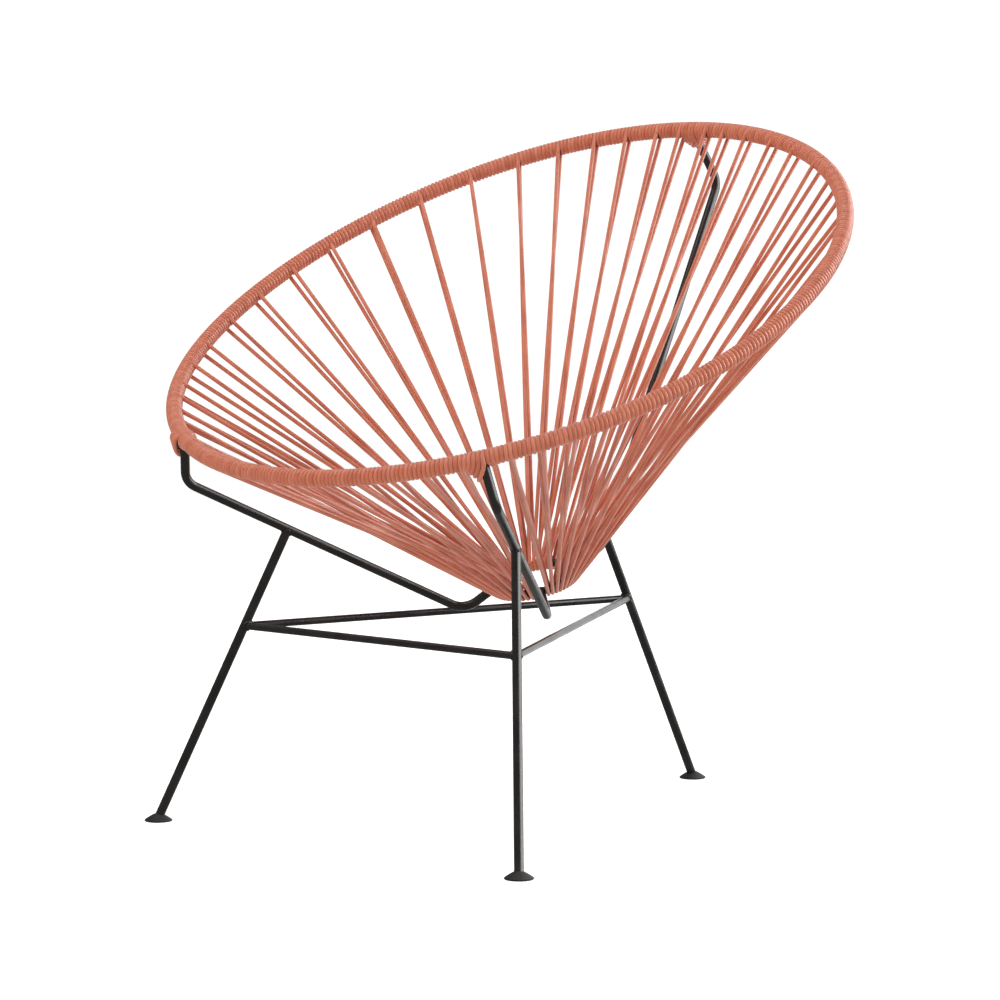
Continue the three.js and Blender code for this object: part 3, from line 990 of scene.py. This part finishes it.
@dataclass
class StrungCord:
    """The cord: wound round the whole rim, and strung to the ring and back at each spoke."""

    steel: SteelFrame
    radius: float = 2.3 * MM
    cad_loop_width: float = 3.128 * MM
    cad_loop_gap: float = 0.6 * MM
    cad_arm_room: float = 7.4 * MM
    squeeze: float = 0.88
    wound_share: float = 1.03
    bedding: float = 0.95
    steps_per_turn: int = 28
    loop_steps: int = 14
    spacing_rounds: int = 6
    bend_run: float = 9 * MM
    bend_share: float = 0.45
    bend_steps: int = 4
    strand_steps: int = 12
    press_depth: float = 0.6 * MM
    squeeze_run: float = 70 * MM
    drawn_facing: float = 0.95
    bulge_near: float = 0.5
    bulge_facing: Span = (-0.7, 0.0)
    pinch_facing: Span = (0.2, 0.95)
    drop_facing: Span = (-0.2, 0.9)
    room_run: float = 4 * MM
    resolution: int = 4
    finish: ExtrudedPvcCord = field(default_factory=ExtrudedPvcCord)
    splits: dict[Arm, float] = field(default_factory=dict, init=False)

    @property
    def on_rim(self) -> float:
        """Distance from the rim's centre line to the cord's."""
        return RIM.rod_radius + self.radius * self.bedding

    @property
    def on_ring(self) -> float:
        """Distance from the ring's centre line to the cord's."""
        return RING.rod_radius + self.radius * self.squeeze

    def ring_angles(self, rim_angles: Sequence[float], start: float, end: float) -> list[float]:
        """Places the loops side by side on the ring, wider apart where the spokes slant.

        Args:
            rim_angles: the spokes' angles on the rim.
            start: the ring angle of the arm before them.
            end: the ring angle of the arm after them.

        Returns:
            The loops' angles on the ring.
        """
        side = (self.cad_loop_width + self.cad_loop_gap) / 2
        first = start + (self.cad_arm_room + side) / RING.half_width
        last = end - self.cad_arm_room / RING.half_width
        count = len(rim_angles)
        angles = [first + (last - first) * i / (count - 1) for i in range(count)]
        for _ in range(self.spacing_rounds):
            widths = []
            for i in range(1, count):
                room = 0.0
                for k in (i - 1, i):
                    run = (RING.point(angles[k]) - RIM.point(rim_angles[k])).normalized()
                    room += 1 / math.sqrt(1 - run.dot(RING.along(angles[k])) ** 2)
                widths.append(room)
            passed = 0.0
            angles = [first]
            for width in widths:
                passed += width
                angles.append(first + (last - first) * passed / sum(widths))
        return angles

    def panel_spokes(self, panel: Panel) -> tuple[list[Spoke], float, float]:
        """Lays out a panel's spokes.

        Args:
            panel: the panel.

        Returns:
            Its spokes, and the rim angles of the arms on either side.
        """
        start = self.steel.rim_angle(panel.before)
        end = self.steel.rim_angle(panel.after)
        ring_start = self.steel.joint_angle(panel.before)
        ring_end = self.steel.joint_angle(panel.after)
        if end < start:
            end += FULL_TURN
            ring_end += FULL_TURN
        total = sum(panel.turns)
        rim_angles = []
        wound = 0
        for turns in panel.turns[:-1]:
            wound += turns
            rim_angles.append(start + (end - start) * wound / total)
        ring_angles = self.ring_angles(rim_angles, ring_start, ring_end)
        return [Spoke(*pair) for pair in zip(rim_angles, ring_angles)], start, end

    def leaving(self, hoop: Hoop, angle: float, run: Vector) -> tuple[Vector, Vector]:
        """Gives the directions across a hoop for cord that leaves it.

        Args:
            hoop: the rim or the ring.
            angle: where the cord leaves it.
            run: the direction from the rim to the ring.

        Returns:
            The direction ahead, square to the hoop, and the direction up from it.
        """
        along = hoop.along(angle)
        ahead = (run - run.dot(along) * along).normalized()
        lift = along.cross(ahead)
        if lift.dot(RIM.rise) < 0:
            lift.negate()
        return ahead, lift

    def lean(self, spoke: Spoke) -> float:
        """Gives how far round the rim's section a spoke's top side lies from the top."""
        run = (RING.point(spoke.ring_angle) - RIM.point(spoke.rim_angle)).normalized()
        _, lift = self.leaving(RIM, spoke.rim_angle, run)
        outward, upward = RIM.across(spoke.rim_angle)
        return math.atan2(lift.dot(outward), lift.dot(upward))

    def spoke_points(self, spoke: Spoke, quarter: float) -> list[RoutePoint]:
        """Routes the cord off the top of the rim, under and round the ring, and back below.

        Args:
            spoke: the spoke.
            quarter: the angle of a quarter of the winding's pitch.

        Returns:
            Points from the rim to the ring and back.
        """
        run = (RING.point(spoke.ring_angle) - RIM.point(spoke.rim_angle)).normalized()
        rim_ahead, rim_lift = self.leaving(RIM, spoke.rim_angle, run)
        ring_ahead, ring_lift = self.leaving(RING, spoke.ring_angle, run)
        top = RIM.point(spoke.rim_angle - quarter) + rim_lift * self.on_rim
        low = RIM.point(spoke.rim_angle + quarter) - rim_lift * self.on_rim
        loop = []
        half_width = self.radius * self.squeeze
        for step in range(self.loop_steps + 1):
            turn = math.pi * (step / self.loop_steps - 0.5)
            side = half_width * (2 * step / self.loop_steps - 1)
            centre = RING.point(spoke.ring_angle + side / RING.half_width)
            round_ring = ring_ahead * math.cos(turn) + ring_lift * math.sin(turn)
            loop.append(centre + self.on_ring * round_ring)
        across = run.cross(rim_lift).normalized()
        if across.dot(RIM.along(spoke.rim_angle)) < 0:
            across.negate()
        points = self.strand(top, rim_ahead, loop[0], -across)
        points += [(place, self.squeeze) for place in loop[1:-1]]
        points += reversed(self.strand(low, rim_ahead, loop[-1], across))
        return [RoutePoint(spoke.rim_angle, place, share) for place, share in points]

    def strand(
        self, start: Vector, ahead: Vector, end: Vector, press: Vector
    ) -> list[tuple[Vector, float]]:
        """Lays one taut strand, eased off the winding and pressed aside where two cross.

        Args:
            start: where it leaves the rim.
            ahead: the direction in which the winding lets it go.
            end: where it meets the ring.
            press: the side that the other strand presses it to.

        Returns:
            Points with the cord's thickness at each.
        """
        length = (end - start).length
        heading = (end - start) / length
        bend_end = start + heading * self.bend_run
        bend_corner = start + ahead * self.bend_run * self.bend_share
        points = []
        for i in range(self.bend_steps):
            t = i / self.bend_steps
            place = start.lerp(bend_corner, t).lerp(bend_corner.lerp(bend_end, t), t)
            points.append((place, 1.0))
        for i in range(self.strand_steps + 1):
            t = i / self.strand_steps
            place = bend_end.lerp(end, t)
            aside = math.sin(math.pi * t) ** 2 * self.press_depth
            left = (end - place).length
            share = 1 + (self.squeeze - 1) * ease(1 - left / self.squeeze_run)
            points.append((place + press * aside, share))
        return points

    def arm_room(self) -> float:
        """Gives how far from an arm's centre line a turn beside it lies."""
        return self.steel.arm_radius + self.radius

    def wound_spot(self, angle: float, turn: float, free: float) -> Vector:
        """Places a point of the winding, drawn down over an arm top where one is near.

        Args:
            angle: place along the rim.
            turn: place round the rim's section.
            free: from 0 beside a spoke, which holds the turn up, to 1 away from one.

        Returns:
            The point.
        """
        for arm, lobe in LOBES.items():
            away = (angle - self.steel.rim_angle(arm) + math.pi) % FULL_TURN - math.pi
            offset = lobe.side * away * RIM.half_width
            if -lobe.plain_run < offset < lobe.run:
                return self.drawn_spot(arm, lobe, angle, turn, offset, free)
        return RIM.spot(angle, turn, self.on_rim)

    def drawn_spot(
        self, arm: Arm, lobe: ArmLobe, angle: float, turn: float, offset: float, free: float
    ) -> Vector:
        """Places a point of a turn that is drawn down beside an arm top.

        Args:
            arm: the arm.
            lobe: the sizes of its lobe of drawn turns.
            angle: place along the rim.
            turn: place round the rim's section.
            offset: distance from the arm along the rim, towards the lobe.
            free: from 0 beside a spoke to 1 away from one.

        Returns:
            The point.
        """
        split = self.splits[arm]
        drawn = offset > split
        run = lobe.run if drawn else -lobe.plain_run
        near = (run - offset) / (run - split)
        foot = run - (run - math.copysign(self.arm_room(), run)) * near
        top, down = self.steel.arm_top(arm)
        outward, upward = RIM.across(angle)
        facing = (upward * math.cos(turn) + outward * math.sin(turn)).dot(down)
        crossing = lobe.crossing if drawn else lobe.plain_crossing
        low = ease(facing, crossing, self.drawn_facing) * free
        beside = angle + lobe.side * (foot - offset) * low / RIM.half_width
        place = RIM.spot(beside, turn, self.on_rim)
        sideways = RIM.along(beside).cross(down).normalized()
        aside = (place - RIM.point(beside)).dot(sideways)
        if drawn:
            spread = lobe.bulge * ease(near, 0.0, self.bulge_near) * ease(facing, *self.bulge_facing)
            pinch = lobe.pinch * near * ease(facing, *self.pinch_facing)
            place += sideways * aside * (spread - pinch) * free
        depth = lobe.depth if drawn else lobe.plain_depth
        drop = depth * near**lobe.gather * ease(facing, *self.drop_facing) * free
        return self.kept_off(place + down * drop, top, down)

    def kept_off(self, place: Vector, top: Vector, down: Vector) -> Vector:
        """Keeps a point of the cord's centre line outside an arm's rod.

        Args:
            place: the point.
            top: the arm's end on the rim's centre line.
            down: the direction of the arm.

        Returns:
            The point, moved straight out from the rod where it was too near.
        """
        reach = (place - top).dot(down)
        away = place - top - down * reach
        room = self.arm_room() * ease(reach / self.room_run)
        if away.length >= room:
            return place
        return top + down * reach + away.normalized() * room

    def winding(self, before: Spoke, after: Spoke, turns: float, quarter: tuple) -> Winding:
        """Lays out the turns from one spoke to the next.

        Args:
            before: the spoke that the winding comes from.
            after: the spoke that it goes to.
            turns: whole turns between the two.
            quarter: angle of a quarter of the pitch at each spoke.

        Returns:
            The winding.
        """
        return Winding(
            start=before.rim_angle + quarter[0],
            end=after.rim_angle - quarter[1],
            turn_start=self.lean(before) + math.pi,
            turn_end=self.lean(after) - FULL_TURN * (turns - 1),
        )

    def find_split(self, arm: Arm, winding: Winding) -> float:
        """Finds where the turns part at an arm: the cord's nearest pass over the rim.

        Args:
            arm: the arm.
            winding: the winding that passes it.

        Returns:
            The distance of that pass from the arm, towards the lobe.
        """
        lobe = LOBES[arm]
        arm_angle = self.steel.rim_angle(arm)
        if arm_angle < winding.start:
            arm_angle += FULL_TURN
        aim = arm_angle - lobe.side * lobe.overlap / RIM.half_width
        _, down = self.steel.arm_top(arm)
        outward, upward = RIM.across(arm_angle)
        over = math.atan2(down.dot(outward), down.dot(upward)) + math.pi
        passes = round((winding.turn(aim) - over) / FULL_TURN)
        nearest = winding.angle(over + FULL_TURN * passes)
        return lobe.side * (nearest - arm_angle) * RIM.half_width

    def wound_points(self, winding: Winding) -> list[RoutePoint]:
        """Winds the cord round the rim from one spoke to the next."""
        turned = abs(winding.turn_end - winding.turn_start) / FULL_TURN
        count = round(self.steps_per_turn * turned)
        points = []
        for i in range(1, count):
            angle = winding.start + (winding.end - winding.start) * i / count
            free = ease(min(i, count - i) / (self.steps_per_turn / 2))
            spot = self.wound_spot(angle, winding.turn(angle), free)
            share = 1 + (self.wound_share - 1) * free
            points.append(RoutePoint(angle, spot, share))
        return points

    def route(self) -> tuple[list[RoutePoint], list[Section]]:
        """Routes the whole cord once round the rim.

        Returns:
            The route and the CAD sections along it.
        """
        spokes: list[Spoke] = []
        turns_after: list[int] = []
        quarters: list[float] = []
        sections: list[Section] = []
        for panel in PANELS:
            panel_spokes, start, end = self.panel_spokes(panel)
            if spokes:
                turns_after[-1] += panel.turns[0]
            spokes += panel_spokes
            turns_after += list(panel.turns[1:])
            quarters += [(end - start) / sum(panel.turns) / 4] * len(panel_spokes)
            sections += self.panel_sections(panel, panel_spokes, start, end)
        turns_after[-1] += PANELS[0].turns[0]
        first = spokes[0]
        spokes.append(Spoke(first.rim_angle + FULL_TURN, first.ring_angle + FULL_TURN))
        quarters.append(quarters[0])
        windings = [
            self.winding(spokes[i], spokes[i + 1], turns, (quarters[i], quarters[i + 1]))
            for i, turns in enumerate(turns_after)
        ]
        for arm in Arm:
            arm_angle = self.steel.rim_angle(arm) % FULL_TURN
            passing = next(w for w in windings if w.start < arm_angle < w.end)
            self.splits[arm] = self.find_split(arm, passing)
        points: list[RoutePoint] = []
        for spoke, quarter, winding in zip(spokes, quarters, windings):
            points += self.spoke_points(spoke, quarter)
            points += self.wound_points(winding)
        return points, sections

    def panel_sections(
        self, panel: Panel, spokes: Sequence[Spoke], start: float, end: float
    ) -> list[Section]:
        """Splits a panel into sections of two spokes, the middle one taking an odd spoke.

        Args:
            panel: the panel.
            spokes: its spokes.
            start: the rim angle of the arm before it.
            end: the rim angle of the arm after it.

        Returns:
            The sections, with the stretch over the arm top before them first.
        """
        pitch = (end - start) / sum(panel.turns)
        count = len(spokes) // 2
        sections = [Section(f"arm_wrap_{panel.before.value}", spokes[0].rim_angle - pitch)]
        first = 0
        for i in range(count):
            last = first + 2 + (len(spokes) % 2 if i == count // 2 else 0)
            if i == count - 1:
                high = spokes[-1].rim_angle + pitch
            else:
                high = (spokes[last - 1].rim_angle + spokes[last].rim_angle) / 2
            sections.append(Section(f"{panel.name}_{i + 1}", high))
            first = last
        return sections

    def build(self) -> None:
        """Builds and dresses the cord, one piece for each CAD section and arm top."""
        cord = self.finish.material()
        points, sections = self.route()
        for i, section in enumerate(sections):
            start = sections[i - 1].end - (FULL_TURN if i == 0 else 0.0)
            chosen = self.stretch(points, start, section.end)
            piece = tube_from_points(
                f"{section.name}_strung",
                [point.place for point in chosen],
                [point.thickness for point in chosen],
                self.radius,
                self.resolution,
            )
            finish_piece(piece, cord, [section.name])

    def stretch(self, points: Sequence[RoutePoint], start: float, end: float) -> list[RoutePoint]:
        """Takes one stretch of the endless route.

        Args:
            points: the whole route, once round the rim.
            start: the stretch's first rim angle.
            end: its last rim angle.

        Returns:
            The stretch's points, with one more at the end to meet the next stretch.
        """
        laps = [
            RoutePoint(point.angle + lap * FULL_TURN, point.place, point.thickness)
            for lap in (-1, 0, 1)
            for point in points
        ]
        inside = [i for i, point in enumerate(laps) if start <= point.angle < end]
        return laps[inside[0] : inside[-1] + 2]


# Studio


@dataclass(frozen=True)
class SoftLight:
    """A soft rectangular light, its place and size in metres and its power in watts."""

    name: str
    place: Point
    width: float
    height: float
    power: float
    reflects: bool = True
    lights: bool = True


LIGHTS = (
    SoftLight("overhead", (-0.6, -0.8, 3.4), 3.0, 3.0, 62),
    SoftLight("window", (1.2, 2.97, 1.0), 4.8, 2.4, 92, reflects=False),
    SoftLight("window_sheen", (2.55, 1.75, 1.6), 4.0, 3.4, 290, lights=False),
    SoftLight("wall_sheen", (-1.1, 3.1, 0.3), 3.2, 4.5, 62, lights=False),
    SoftLight("front_fill", (1.6, -4.0, 1.0), 3.0, 2.4, 38, reflects=False),
)


@dataclass
class Studio:
    """The pale floor, the soft lights and the camera."""

    azimuth: float = math.radians(40.89)
    elevation: float = math.radians(5.05)
    distance: float = 4036.2 * MM
    target: Point = (63.05 * MM, -97.192 * MM, 353.86 * MM)
    roll: float = math.radians(0.03)
    focal_share: float = 3818.2 / 1000
    sensor: float = 36.0
    air: float = 0.33
    bounce: float = 0.8
    mirrored_air: float = 0.2
    horizon: float = 0.3
    backdrop: float = 1.1
    aim_height: float = 0.4
    floor_reach: float = 4.0
    view_range: float = 60.0
    paper: LitPaper = field(default_factory=LitPaper)

    def build_camera(self) -> None:
        """Sets the camera at the photograph's viewing angle."""
        flat = math.cos(self.elevation)
        across, ahead = math.sin(self.azimuth) * flat, -math.cos(self.azimuth) * flat
        back = Vector((across, ahead, math.sin(self.elevation)))
        data = bpy.data.cameras.new("camera")
        data.sensor_width = self.sensor
        data.lens = self.focal_share * self.sensor
        data.clip_end = self.view_range
        camera = link_object("camera", data)
        turn = back.to_track_quat("Z", "Y").to_matrix().to_4x4()
        place = Matrix.Translation(Vector(self.target) + back * self.distance)
        camera.matrix_world = place @ turn @ Matrix.Rotation(self.roll, 4, "Z")
        bpy.context.scene.camera = camera

    def build_floor(self) -> None:
        """Lays the floor."""
        shape = bmesh.new()
        bmesh.ops.create_grid(shape, x_segments=2, y_segments=2, size=self.floor_reach)
        floor = mesh_piece("paper_floor", shape)
        floor.data.materials.append(self.paper.material())
        floor.visible_diffuse = False
        floor.visible_glossy = False
        floor.visible_shadow = False

    def build_light(self, light: SoftLight) -> None:
        """Hangs one soft light, aimed at the chair."""
        data = bpy.data.lights.new(light.name, "AREA")
        data.shape = "RECTANGLE"
        data.size = light.width
        data.size_y = light.height
        data.energy = light.power
        lamp = link_object(light.name, data)
        lamp.visible_glossy = light.reflects
        lamp.visible_diffuse = light.lights
        aim = Vector(light.place) - Vector((0, 0, self.aim_height))
        turn = aim.to_track_quat("Z", "Y").to_matrix().to_4x4()
        lamp.matrix_world = Matrix.Translation(light.place) @ turn

    def build_air(self) -> None:
        """Makes a backdrop that the camera sees white, with soft light and floor bounce."""
        world = bpy.data.worlds.new("studio_air")
        world.use_nodes = True
        tree = world.node_tree
        tree.nodes.clear()
        ray = add_node(tree, "ShaderNodeLightPath").outputs
        place = {"Vector": add_node(tree, "ShaderNodeTexCoord").outputs["Generated"]}
        height = {"Value": add_node(tree, "ShaderNodeSeparateXYZ", links=place).outputs["Z"]}
        span = {"From Min": -self.horizon, "From Max": self.horizon}
        span |= {"To Min": self.bounce, "To Max": self.air}
        glow = add_node(tree, "ShaderNodeMapRange", inputs=span, links=height)
        strength = add_node(
            tree,
            "ShaderNodeMix",
            inputs={"B": self.mirrored_air},
            links={"Factor": ray["Is Glossy Ray"], "A": glow.outputs["Result"]},
        )
        white = {"Color": linear("ffffff")}
        power = {"Strength": strength.outputs["Result"]}
        soft = add_node(tree, "ShaderNodeBackground", inputs=white, links=power)
        bright = white | {"Strength": self.backdrop}
        seen = add_node(tree, "ShaderNodeBackground", inputs=bright)
        parts = {0: ray["Is Camera Ray"], 1: soft.outputs[0], 2: seen.outputs[0]}
        mixed = add_node(tree, "ShaderNodeMixShader", links=parts)
        add_node(tree, "ShaderNodeOutputWorld", links={"Surface": mixed.outputs["Shader"]})
        bpy.context.scene.world = world

    def build(self) -> None:
        """Builds the whole studio."""
        bpy.context.scene.view_settings.view_transform = "Standard"
        self.build_camera()
        self.build_floor()
        self.build_air()
        for light in LIGHTS:
            self.build_light(light)


def main() -> None:
    """Builds the chair and its studio."""
    logging.basicConfig(level=logging.INFO, format="%(name)s: %(message)s")
    studio = Studio()
    studio.build()
    steel = SteelFrame()
    steel.build()
    FloorDiscs().build(steel)
    StrungCord(steel).build()


if __name__ == "__main__":
    main()
